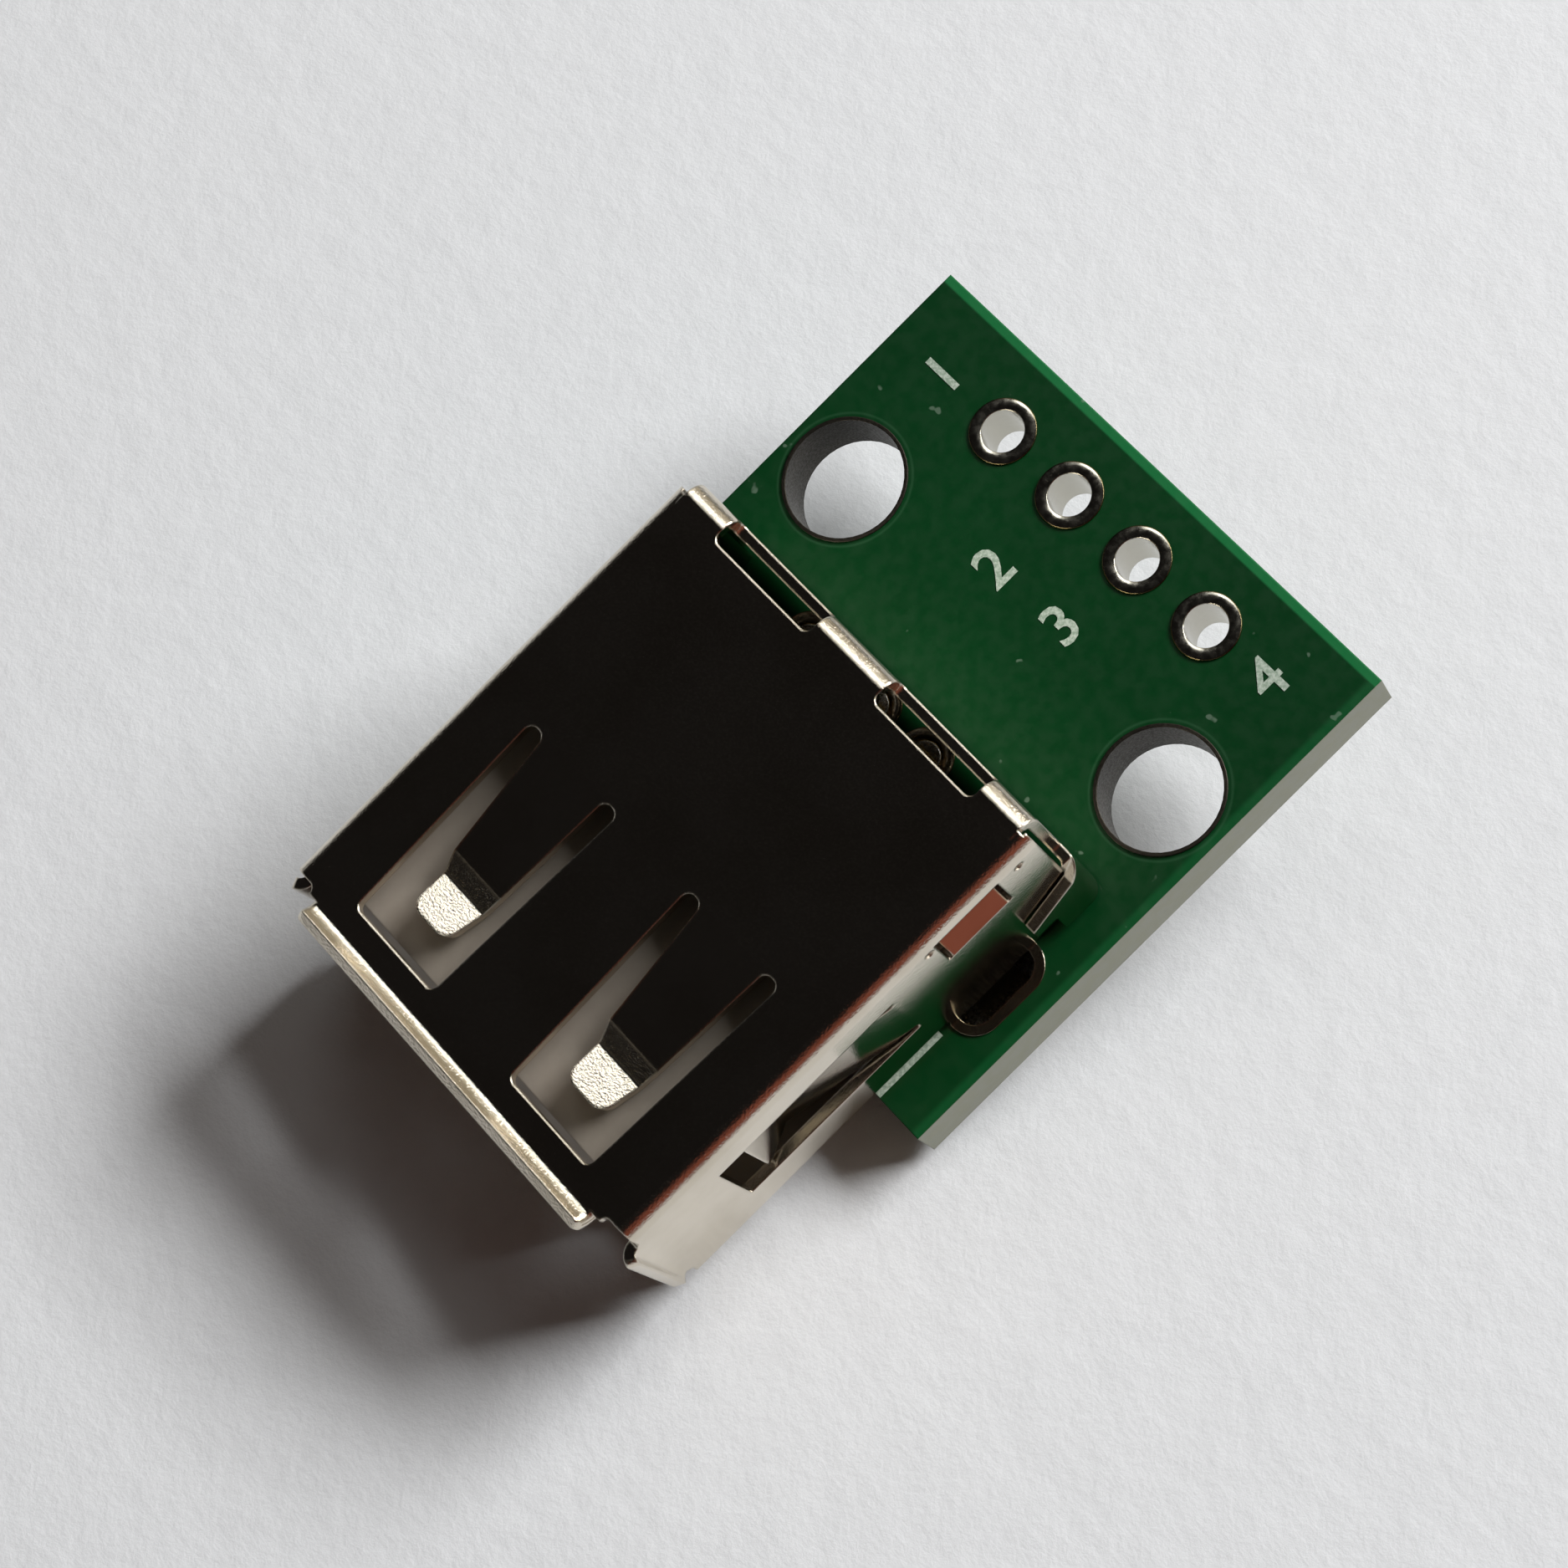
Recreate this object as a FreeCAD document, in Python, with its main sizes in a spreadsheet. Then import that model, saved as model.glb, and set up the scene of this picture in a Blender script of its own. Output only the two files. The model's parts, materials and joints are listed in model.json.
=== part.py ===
import FreeCAD, Part
import math
import os
import re
import Sketcher

# Every size that shapes the part, in millimetres and degrees.
# Positions along y are counted from the front edge of the board.
SIZES = {
    "board_width": 16.0,
    "board_depth": 16.0,
    "board_thickness": 1.6,
    "plating_wall": 0.05,
    "land_height": 0.05,
    "header_pitch": 2.54,
    "header_inset": 2.0,
    "header_bore": 1.15,
    "header_land": 1.8,
    "mount_side_inset": 2.0,
    "mount_inset": 5.7,
    "mount_bore": 3.2,
    "mount_land": 3.4,
    "contact_bore": 0.88,
    "contact_land": 1.6,
    "peg_slot_width": 1.1,
    "peg_slot_length": 2.4,
    "peg_slot_ring": 0.27,
    "peg_slot_shift": 0.17,
    "shell_width": 13.1,
    "shell_height": 5.72,
    "sheet": 0.3,
    "bend_inner": 0.2,
    "mouth_corner": 6.15,
    "mouth_edge": 6.35,
    "bottom_rear": 2.55,
    "wall_rear": 7.22,
    "lip_radius": 0.3,
    "lip_angle": 55.0,
    "lip_straight": 0.2,
    "side_mouth_edge": 6.25,
    "side_lip_radius": 0.2,
    "side_lip_angle": 65.0,
    "side_lip_straight": 0.15,
    "lip_end_inset": 1.05,
    "side_lip_inset": 0.95,
    "lip_corner_radius": 0.22,
    "scallop_start": 0.5,
    "scallop_end": 0.85,
    "scallop_radius": 0.18,
    "side_scallop_radius": 0.09,
    "top_bend_start": 7.13,
    "cover_inset": 0.4,
    "cover_clearance": 0.2,
    "cover_strip_half": 1.2,
    "cover_strip_outer": 1.4,
    "relief_front": 6.85,
    "relief_drop": 0.68,
    "relief_radius": 0.22,
    "notch_width": 0.14,
    "ear_height": 2.7,
    "ear_shoulder": 0.5,
    "ear_gap": 0.05,
    "ear_front": 5.62,
    "ear_front_top": 1.4,
    "ear_arm_low": 1.1,
    "ear_foot_front": 6.28,
    "ear_notch_radius": 0.1,
    "spring_x": 3.025,
    "spring_window": 3.05,
    "spring_window_rear": 3.4,
    "spring_window_front": 5.7,
    "spring_root": 0.55,
    "spring_root_width": 2.35,
    "spring_slit_radius": 0.24,
    "spring_waist": 1.8,
    "spring_pad_width": 1.55,
    "spring_tip_width": 1.35,
    "spring_tip_radius": 0.42,
    "spring_bend": 3.02,
    "spring_low": 3.57,
    "spring_tip": 4.7,
    "spring_bend_drop": 0.38,
    "spring_low_drop": 0.62,
    "spring_tip_drop": 0.3,
    "spring_radius": 0.12,
    "window_radius": 0.2,
    "side_window_low": 1.14,
    "side_window_high": 1.49,
    "side_window_front": 3.7,
    "side_spring_root": 2.1,
    "side_spring_slit": 0.19,
    "side_spring_bend": 1.9,
    "side_spring_tip": 2.9,
    "side_spring_drop": 0.6,
    "side_spring_tip_drop": 0.1,
    "lance_front": 3.8,
    "lance_rear": 5.9,
    "lance_low": 0.85,
    "lance_high": 2.33,
    "lance_slit": 0.13,
    "lance_drop": 0.5,
    "dent_radius": 0.13,
    "dent_depth": 0.06,
    "dent_front": 3.6,
    "dent_rear": 6.55,
    "dent_level": 2.14,
    "seam_gap": 0.05,
    "dovetail_y": 1.6,
    "dovetail_reach": 0.9,
    "dovetail_root": 0.45,
    "dovetail_end": 0.7,
    "peg_y": 4.0,
    "peg_width": 1.4,
    "peg_kink": 0.28,
    "peg_kink_depth": 0.95,
    "peg_return_depth": 2.1,
    "peg_taper_depth": 2.6,
    "peg_depth": 3.0,
    "peg_tip_width": 0.8,
    "block_front": 2.8,
    "block_rear": 6.45,
    "block_height": 5.0,
    "block_clearance": 0.05,
    "tongue_front": 5.9,
    "tongue_side_gap": 0.7,
    "tongue_top_gap": 0.7,
    "tongue_thickness": 1.84,
    "tongue_chamfer": 0.25,
    "groove_depth": 0.3,
    "groove_clearance": 0.05,
    "latch_clearance": 0.1,
    "contact_inner_x": 1.0,
    "contact_outer_x": 3.5,
    "contact_strip": 0.25,
    "contact_width": 1.0,
    "contact_tip": 5.3,
    "contact_crown": 4.1,
    "contact_crown_drop": 0.5,
    "contact_bow_start": 1.4,
    "contact_bend": 0.2,
    "tail_y": 6.71,
    "tail_width": 0.65,
    "tail_shoulder": 1.9,
    "tail_depth": 3.0,
    "tail_point": 0.3,
    "solder_cone": 0.9,
    "solder_hold": 0.04,
    "peg_solder_top": 0.9,
    "peg_solder_cone": 0.75,
    "peg_solder_angle": 24.0,
}

doc = FreeCAD.newDocument("pcb_usb_socket")
sheet = doc.addObject("Spreadsheet::Sheet", "sizes")
for row, (alias, number) in enumerate(SIZES.items(), start=1):
    sheet.set(f"A{row}", alias)
    sheet.set(f"B{row}", str(number))
    sheet.setAlias(f"B{row}", alias)
doc.recompute()

# Shared rules for places that several pieces use
HALF_WIDTH = "shell_width / 2"
HALF_HEIGHT = "shell_height / 2"
INNER_X = "(shell_width / 2 - sheet)"
INNER_Z = "(shell_height / 2 - sheet)"
BEND_OUTER = "(bend_inner + sheet)"
SHELL_MIDDLE = "(land_height + shell_height / 2)"
INNER_TOP = f"({SHELL_MIDDLE} + {INNER_Z})"
HEADER_Y = "board_depth - header_inset"
MOUNT_X = "(board_width / 2 - mount_side_inset)"
MOUNT_Y = "board_depth - mount_inset"
SLOT_X = "(shell_width / 2 - sheet / 2 + peg_slot_shift)"
TONGUE_TOP = f"({INNER_TOP} - tongue_top_gap)"
TONGUE_LOW = f"({TONGUE_TOP} - tongue_thickness)"
STRIP_TOP = f"({TONGUE_LOW} + groove_depth)"
STRIP_LOW = f"({STRIP_TOP} - contact_strip)"
SLIVER = "sheet / 300"
CONTACTS = {
    1: "-contact_outer_x",
    2: "-contact_inner_x",
    3: "contact_inner_x",
    4: "contact_outer_x",
}
HEADER = {number: f"{number - 2.5} * header_pitch" for number in (1, 2, 3, 4)}
SIDES = {"left": -1, "right": 1}

WORDS = re.compile(r"\b(" + "|".join(SIZES) + r")\b")


def bound(rule):
    """The rule as the sheet's own expression."""
    return WORDS.sub(r"sizes.\1", str(rule))


def value(rule):
    """The number that a rule gives at present."""
    return float(sheet.evalExpression(bound(rule)))


def minus(rule):
    return f"-({rule})"


def signed(side, rule):
    return f"{side} * ({rule})"


def new_body(name, x="0", y="0", z="0"):
    """A body placed in the part's frame, whose origin lies between the mounting holes."""
    body = doc.addObject("PartDesign::Body", name)
    body.Label = name
    for axis, rule in zip("xyz", (x, f"{y} - ({MOUNT_Y})", z)):
        body.setExpression(f"Placement.Base.{axis}", bound(rule))
    return body


def hold(drawing, kind, refs, rule):
    """A driving constraint tied to the sheet."""
    index = drawing.addConstraint(Sketcher.Constraint(kind, *refs, value(rule)))
    drawing.setExpression(f"Constraints[{index}]", bound(rule))


def pin(drawing, geometry, point, x, y):
    hold(drawing, "DistanceX", (-1, 1, geometry, point), x)
    hold(drawing, "DistanceY", (-1, 1, geometry, point), y)


def add_circle(drawing, x, y, radius):
    centre = FreeCAD.Vector(value(x), value(y), 0)
    circle = drawing.addGeometry(Part.Circle(centre, FreeCAD.Vector(0, 0, 1), value(radius)))
    pin(drawing, circle, 3, x, y)
    hold(drawing, "Radius", (circle,), radius)


def add_outline(drawing, corners):
    """A closed outline; a corner with a third rule is rounded to that radius."""
    count = len(corners)
    spots = [FreeCAD.Vector(value(c[0]), value(c[1]), 0) for c in corners]
    leave = list(spots)
    arrive = list(spots)
    middle = [None] * count
    for i, corner in enumerate(corners):
        if len(corner) < 3:
            continue
        back = (spots[i - 1] - spots[i]).normalize()
        ahead = (spots[(i + 1) % count] - spots[i]).normalize()
        half = back.getAngle(ahead) / 2
        radius = value(corner[2])
        reach = radius / math.tan(half)
        arrive[i] = spots[i] + back * reach
        leave[i] = spots[i] + ahead * reach
        inward = (back + ahead).normalize()
        middle[i] = spots[i] + inward * (radius / math.sin(half) - radius)
    lines = []
    for i in range(count):
        line = Part.LineSegment(leave[i], arrive[(i + 1) % count])
        lines.append(drawing.addGeometry(line))
    for i, corner in enumerate(corners):
        before, after = lines[i - 1], lines[i]
        if middle[i] is None:
            drawing.addConstraint(Sketcher.Constraint("Coincident", before, 2, after, 1))
            pin(drawing, after, 1, corner[0], corner[1])
            continue
        spot = drawing.addGeometry(Part.Point(spots[i]), True)
        pin(drawing, spot, 1, corner[0], corner[1])
        drawing.addConstraint(Sketcher.Constraint("PointOnObject", spot, 1, before))
        drawing.addConstraint(Sketcher.Constraint("PointOnObject", spot, 1, after))
        arc = drawing.addGeometry(Part.Arc(arrive[i], middle[i], leave[i]))
        starts = drawing.getPoint(arc, 1).distanceToPoint(arrive[i]) < 1e-6
        first, last = (1, 2) if starts else (2, 1)
        drawing.addConstraint(Sketcher.Constraint("Tangent", before, 2, arc, first))
        drawing.addConstraint(Sketcher.Constraint("Tangent", arc, last, after, 1))
        hold(drawing, "Radius", (arc,), corner[2])


def draw(body, name, role, outlines=(), circles=(), offset=None):
    """A sketch on one of the body's own origin planes."""
    drawing = body.newObject("Sketcher::SketchObject", f"{body.Name}_{name}")
    support = [f for f in body.Origin.OriginFeatures if f.Role == role][0]
    drawing.AttachmentSupport = [(support, "")]
    drawing.MapMode = "FlatFace"
    if offset is not None:
        drawing.setExpression("AttachmentOffset.Base.z", bound(offset))
    for corners in outlines:
        add_outline(drawing, corners)
    for circle in circles:
        add_circle(drawing, *circle)
    drawing.Visibility = False
    return drawing


def pad(body, drawing, length, both=False, flip=False, taper=None):
    feature = body.newObject("PartDesign::Pad", f"{drawing.Name}_pad")
    feature.Profile = drawing
    feature.setExpression("Length", bound(length))
    feature.Midplane = both
    feature.Reversed = flip
    if taper is not None:
        feature.setExpression("TaperAngle", bound(taper))
    return feature


def cut(body, drawing, length=None, both=False, flip=False):
    feature = body.newObject("PartDesign::Pocket", f"{drawing.Name}_cut")
    feature.Profile = drawing
    if length is None:
        feature.Type = "ThroughAll"
    else:
        feature.setExpression("Length", bound(length))
    feature.Midplane = both
    feature.Reversed = flip
    return feature


def turn(body, drawing):
    feature = body.newObject("PartDesign::Revolution", f"{drawing.Name}_turn")
    feature.Profile = drawing
    feature.ReferenceAxis = (drawing, ["V_Axis"])
    feature.Angle = 360
    return feature


def rectangle(x0, x1, y0, y1, radius=None):
    tail = () if radius is None else (radius,)
    return [(x0, y0, *tail), (x1, y0, *tail), (x1, y1, *tail), (x0, y1, *tail)]


def slot_outline(x, y, grow):
    """A slot with round ends, long in y, widened all round."""
    half = f"(peg_slot_width / 2 + {grow})"
    reach = f"(peg_slot_length / 2 + {grow})"
    left, right = f"{x} - {half}", f"{x} + {half}"
    low, high = f"{y} - {reach}", f"{y} + {reach}"
    return rectangle(left, right, low, high, f"{half} - {SLIVER}")


def peg_profile(side):
    """The peg seen from the front, hanging from the side wall of the shell."""
    steps = [
        ("sheet", "0"),
        ("0", "0"),
        ("peg_kink_depth", "peg_kink"),
        ("peg_return_depth", "0"),
        ("peg_depth", "0"),
    ]
    outer = []
    inner = []
    for depth, shift in steps:
        level = "land_height + sheet" if depth == "sheet" else f"-({depth})"
        outer.append((signed(side, f"{HALF_WIDTH} + {shift}"), level))
        inner.append((signed(side, f"{INNER_X} + {shift}"), level))
    return outer + inner[::-1]


# Bare board with every drilled hole
board = new_body("board")
plate = draw(board, "plate", "XY_Plane", [
    rectangle("-board_width / 2", "board_width / 2", "0", "board_depth"),
])
pad(board, plate, "board_thickness", flip=True)
round_holes = [(x, HEADER_Y, "header_bore / 2 + plating_wall") for x in HEADER.values()]
round_holes += [(x, "tail_y", "contact_bore / 2 + plating_wall") for x in CONTACTS.values()]
round_holes += [
    (signed(side, MOUNT_X), MOUNT_Y, "mount_bore / 2 + plating_wall")
    for side in SIDES.values()
]
slots = [slot_outline(signed(side, SLOT_X), "peg_y", "plating_wall") for side in SIDES.values()]
holes = draw(board, "holes", "XY_Plane", slots, round_holes)
cut(board, holes)


def plated_hole(name, x, y, bore, land):
    """The metal lining of a hole: a barrel with a land on both faces."""
    body = new_body(name, x, y)
    inner = f"{bore} / 2"
    outer = f"({bore} / 2 + plating_wall)"
    rim = f"{land} / 2"
    lining = draw(body, "lining", "XZ_Plane", [[
        (inner, "land_height"),
        (inner, "-board_thickness - land_height"),
        (rim, "-board_thickness - land_height"),
        (rim, "-board_thickness"),
        (outer, "-board_thickness"),
        (outer, "0"),
        (rim, "0"),
        (rim, "land_height"),
    ]])
    turn(body, lining)


for number, x in HEADER.items():
    plated_hole(f"header_hole_{number}", x, HEADER_Y, "header_bore", "header_land")
for number, x in CONTACTS.items():
    plated_hole(f"contact_hole_{number}", x, "tail_y", "contact_bore", "contact_land")
for side_name, side in SIDES.items():
    x = signed(side, MOUNT_X)
    plated_hole(f"mounting_hole_{side_name}", x, MOUNT_Y, "mount_bore", "mount_land")

# Plated slots that take the shell's pegs
for side_name, side in SIDES.items():
    slot = new_body(f"peg_slot_{side_name}", signed(side, SLOT_X), "peg_y")
    lands = draw(slot, "lands", "XY_Plane", [slot_outline("0", "0", "peg_slot_ring")])
    pad(slot, lands, "land_height")
    under = draw(slot, "under", "XY_Plane", [slot_outline("0", "0", "peg_slot_ring")],
                 offset="-board_thickness")
    pad(slot, under, "land_height", flip=True)
    barrel = draw(slot, "barrel", "XY_Plane", [slot_outline("0", "0", "plating_wall")])
    pad(slot, barrel, "board_thickness", flip=True)
    opening = draw(slot, "opening", "XY_Plane", [slot_outline("0", "0", "0")])
    cut(slot, opening, both=True)

# Shell: one folded sheet, drawn about the middle of its mouth
shell = new_body("shell", z=SHELL_MIDDLE)
tube_outer = rectangle("-shell_width / 2", HALF_WIDTH, "-shell_height / 2", HALF_HEIGHT, BEND_OUTER)
tube_inner = rectangle(minus(INNER_X), INNER_X, minus(INNER_Z), INNER_Z, "bend_inner")
tube = draw(shell, "tube", "XZ_Plane", [tube_outer, tube_inner], offset="-bottom_rear")
pad(shell, tube, "bottom_rear + mouth_corner")

# Behind the mouth the bottom is open and the walls run straight down
roof = draw(shell, "roof", "XZ_Plane", [[
    (minus(HALF_WIDTH), "-shell_height / 2"),
    (minus(HALF_WIDTH), HALF_HEIGHT, BEND_OUTER),
    (HALF_WIDTH, HALF_HEIGHT, BEND_OUTER),
    (HALF_WIDTH, "-shell_height / 2"),
    (INNER_X, "-shell_height / 2"),
    (INNER_X, INNER_Z, "bend_inner"),
    (minus(INNER_X), INNER_Z, "bend_inner"),
    (minus(INNER_X), "-shell_height / 2"),
]], offset="-wall_rear")
pad(shell, roof, "wall_rear - bottom_rear")

# Flat rims that carry the lips, scalloped out beside them
rims = []
side_rims = []
for side in (-1, 1):
    rims.append([
        (f"-{HALF_WIDTH} + scallop_start", signed(side, INNER_Z)),
        (f"{HALF_WIDTH} - scallop_start", signed(side, INNER_Z)),
        (f"{HALF_WIDTH} - scallop_start", signed(side, HALF_HEIGHT)),
        (f"-{HALF_WIDTH} + scallop_start", signed(side, HALF_HEIGHT)),
    ])
    side_rims.append([
        (signed(side, INNER_X), f"-{HALF_HEIGHT} + scallop_start"),
        (signed(side, HALF_WIDTH), f"-{HALF_HEIGHT} + scallop_start"),
        (signed(side, HALF_WIDTH), f"{HALF_HEIGHT} - scallop_start"),
        (signed(side, INNER_X), f"{HALF_HEIGHT} - scallop_start"),
    ])
rim = draw(shell, "rim", "XZ_Plane", rims, offset="mouth_corner")
pad(shell, rim, "mouth_edge - mouth_corner")
side_rim = draw(shell, "side_rim", "XZ_Plane", side_rims, offset="mouth_corner")
pad(shell, side_rim, "side_mouth_edge - mouth_corner")
for role, half, radius in (
    ("XY_Plane", HALF_WIDTH, "scallop_radius"),
    ("YZ_Plane", HALF_HEIGHT, "side_scallop_radius"),
):
    hollows = []
    for side in (-1, 1):
        wide = signed(side, f"{half} - scallop_start")
        narrow = signed(side, f"{half} - scallop_end")
        corners = [
            (wide, "-mouth_corner"),
            (narrow, "-mouth_corner", radius),
            (narrow, "-mouth_edge"),
            (wide, "-mouth_edge"),
        ]
        if role == "YZ_Plane":
            corners = [(c[1], c[0], *c[2:]) for c in corners]
        hollows.append(corners)
    scallop = draw(shell, f"scallop_{role[:2]}", role, hollows)
    cut(shell, scallop, both=True)


def lip_profile(side, outer, edge, prefix):
    """A flared lip: flat, bent outward, then straight to its cut edge."""
    angle = f"{prefix}lip_angle * 1 deg"
    turn_outer = f"{prefix}lip_radius"
    turn_inner = f"({turn_outer} + sheet)"
    corner_outer = f"{turn_outer} * tan({angle} / 2)"
    corner_inner = f"{turn_inner} * tan({angle} / 2)"
    reach_outer = f"({corner_outer} + {prefix}lip_straight)"
    reach_inner = f"({corner_inner} + {prefix}lip_straight)"
    under = f"({outer} - sheet)"
    ahead = [
        ("mouth_corner", outer),
        (f"{edge} + {corner_outer}", outer, turn_outer),
        (f"{edge} + {corner_outer} + {reach_outer} * cos({angle})",
         f"{outer} + {reach_outer} * sin({angle})"),
        (f"{edge} + {corner_inner} + {reach_inner} * cos({angle})",
         f"{under} + {reach_inner} * sin({angle})"),
        (f"{edge} + {corner_inner}", under, turn_inner),
        ("mouth_corner", under),
    ]
    return [(minus(c[0]), signed(side, c[1]), *c[2:]) for c in ahead]


lips = draw(shell, "lips", "YZ_Plane", [
    lip_profile(side, HALF_HEIGHT, "mouth_edge", "") for side in (-1, 1)
])
pad(shell, lips, "shell_width - 2 * lip_end_inset", both=True)
side_loops = []
for side in (-1, 1):
    ahead = lip_profile(side, HALF_WIDTH, "side_mouth_edge", "side_")
    side_loops.append([(c[1], c[0], *c[2:]) for c in ahead])
side_lips = draw(shell, "side_lips", "XY_Plane", side_loops)
side_lip_pad = pad(shell, side_lips, "shell_height - 2 * side_lip_inset", both=True)

# Round the four ends of every lip
doc.recompute()
picked = []
for index, edge in enumerate(side_lip_pad.Shape.Edges, start=1):
    spot = edge.CenterOfMass
    across = abs(edge.Length - value("sheet")) < value("sheet") / 20
    if across and spot.y < -value("mouth_edge + sheet / 3"):
        picked.append(f"Edge{index}")
rounding = shell.newObject("PartDesign::Fillet", "shell_lip_corners")
rounding.Base = (side_lip_pad, picked)
rounding.setExpression("Radius", bound("lip_corner_radius"))

# Rear cover: the roof sheet folded down behind
COVER_HALF = f"({HALF_WIDTH} - cover_inset)"
COVER_INNER = "(top_bend_start + bend_inner)"
COVER_OUTER = f"(top_bend_start + {BEND_OUTER})"
COVER_LOW = f"(cover_clearance - {SHELL_MIDDLE})"
cover = draw(shell, "cover", "YZ_Plane", [[
    ("relief_front", INNER_Z),
    ("relief_front", HALF_HEIGHT),
    (COVER_OUTER, HALF_HEIGHT, BEND_OUTER),
    (COVER_OUTER, COVER_LOW),
    (COVER_INNER, COVER_LOW),
    (COVER_INNER, INNER_Z, "bend_inner"),
]])
pad(shell, cover, f"2 * {COVER_HALF}", both=True)

# Ears: the lower part of the cover wraps round the side walls
EAR_INNER = f"({HALF_WIDTH} + ear_gap)"
EAR_OUTER = f"({EAR_INNER} + sheet)"
EAR_TOP = f"({COVER_LOW} + ear_height)"
EAR_BEND = f"({COVER_INNER} - bend_inner)"
EAR_TIP = "(ear_front - sheet)"
ear_loops = []
for side in SIDES.values():
    corners = [
        (f"{COVER_HALF} - sheet", COVER_INNER),
        (EAR_INNER, COVER_INNER, "bend_inner"),
        (EAR_INNER, "ear_front"),
        (EAR_OUTER, "ear_front"),
        (EAR_OUTER, COVER_OUTER, BEND_OUTER),
        (f"{COVER_HALF} - sheet", COVER_OUTER),
    ]
    ear_loops.append([(signed(side, c[0]), *c[1:]) for c in corners])
ears = draw(shell, "ears", "XY_Plane", ear_loops, offset=COVER_LOW)
pad(shell, ears, "ear_height")
for side_name, side in SIDES.items():
    trims = draw(shell, f"ear_trims_{side_name}", "YZ_Plane", [
        [
            (COVER_OUTER, EAR_TOP),
            (EAR_BEND, f"{EAR_TOP} - ear_shoulder"),
            (EAR_TIP, f"{COVER_LOW} + ear_front_top"),
            (EAR_TIP, f"{EAR_TOP} + sheet"),
            (COVER_OUTER, f"{EAR_TOP} + sheet"),
        ],
        [
            (EAR_TIP, f"{COVER_LOW} - sheet"),
            (EAR_TIP, f"{COVER_LOW} + ear_arm_low"),
            ("ear_foot_front", f"{COVER_LOW} + ear_arm_low", "ear_notch_radius"),
            ("ear_foot_front", f"{COVER_LOW} - sheet"),
        ],
    ], offset=signed(side, f"{EAR_INNER} - ear_gap / 2"))
    cut(shell, trims, flip=side > 0)

# Relief slots and notches beside the three strips that carry the cover
RELIEF_LOW = f"({HALF_HEIGHT} - relief_drop)"
relief_tops = []
relief_backs = []
for side in SIDES.values():
    near = signed(side, "cover_strip_half")
    far = signed(side, f"{COVER_HALF} - cover_strip_outer")
    relief_tops.append([
        (near, "relief_front", "relief_radius"),
        (far, "relief_front", "relief_radius"),
        (far, f"{COVER_OUTER} + sheet"),
        (near, f"{COVER_OUTER} + sheet"),
    ])
    relief_tops.append([
        (signed(side, COVER_HALF), "top_bend_start"),
        (signed(side, f"{COVER_HALF} + notch_width"), "top_bend_start"),
        (signed(side, f"{COVER_HALF} + notch_width"), "wall_rear + sheet"),
        (signed(side, COVER_HALF), "wall_rear + sheet"),
    ])
    relief_backs.append([
        (near, RELIEF_LOW, "relief_radius"),
        (far, RELIEF_LOW, "relief_radius"),
        (far, f"{HALF_HEIGHT} + sheet"),
        (near, f"{HALF_HEIGHT} + sheet"),
    ])
relief_top = draw(shell, "relief_top", "XY_Plane", relief_tops,
                  offset=f"{HALF_HEIGHT} - {BEND_OUTER}")
cut(shell, relief_top, flip=True)
relief_back = draw(shell, "relief_back", "XZ_Plane", relief_backs,
                   offset="-top_bend_start")
cut(shell, relief_back)

# Contact springs of the roof and the bottom
slits = []
flat_arms = []
for side in SIDES.values():
    middle = signed(side, "spring_x")
    slits.append([
        (f"{middle} - spring_window / 2", "-spring_window_front", "window_radius"),
        (f"{middle} + spring_window / 2", "-spring_window_front", "window_radius"),
        (f"{middle} + spring_window_rear / 2", "spring_root", "spring_slit_radius"),
        (f"{middle} + spring_root_width / 2", "spring_root", "spring_slit_radius"),
        (f"{middle} + spring_waist / 2", "-spring_bend"),
        (f"{middle} + spring_pad_width / 2", "-spring_low"),
        (f"{middle} + spring_tip_width / 2", "-spring_tip", "spring_tip_radius"),
        (f"{middle} - spring_tip_width / 2", "-spring_tip", "spring_tip_radius"),
        (f"{middle} - spring_pad_width / 2", "-spring_low"),
        (f"{middle} - spring_waist / 2", "-spring_bend"),
        (f"{middle} - spring_root_width / 2", "spring_root", "spring_slit_radius"),
        (f"{middle} - spring_window_rear / 2", "spring_root", "spring_slit_radius"),
    ])
    flat_arms.append(rectangle(
        f"{middle} - spring_root_width / 2",
        f"{middle} + spring_root_width / 2",
        "-spring_window_front",
        "spring_root",
    ))
slit = draw(shell, "spring_slits", "XY_Plane", slits)
cut(shell, slit, both=True)
flat_arm = draw(shell, "flat_arms", "XY_Plane", flat_arms)
cut(shell, flat_arm, both=True)
SPRING_WIDE = "(spring_radius + sheet)"
spring_loops = []
for side in (-1, 1):
    path = [
        ("spring_root + sheet", "0"),
        ("spring_root", "0"),
        ("-spring_bend", "spring_bend_drop", SPRING_WIDE, "spring_radius"),
        ("-spring_low", "spring_low_drop", "spring_radius", SPRING_WIDE),
        ("-spring_tip", "spring_tip_drop"),
    ]
    outer = [(y, signed(side, f"{HALF_HEIGHT} - {drop}"), *bend[:1]) for y, drop, *bend in path]
    inner = [(y, signed(side, f"{INNER_Z} - {drop}"), *bend[1:]) for y, drop, *bend in path]
    spring_loops.append(outer + inner[::-1])
for side_name, side in SIDES.items():
    arms = draw(shell, f"spring_arms_{side_name}", "YZ_Plane", spring_loops,
                offset=signed(side, "spring_x"))
    pad(shell, arms, "spring_root_width", both=True)
arm_sides = draw(shell, "spring_sides", "XY_Plane", slits)
cut(shell, arm_sides, both=True)

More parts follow.
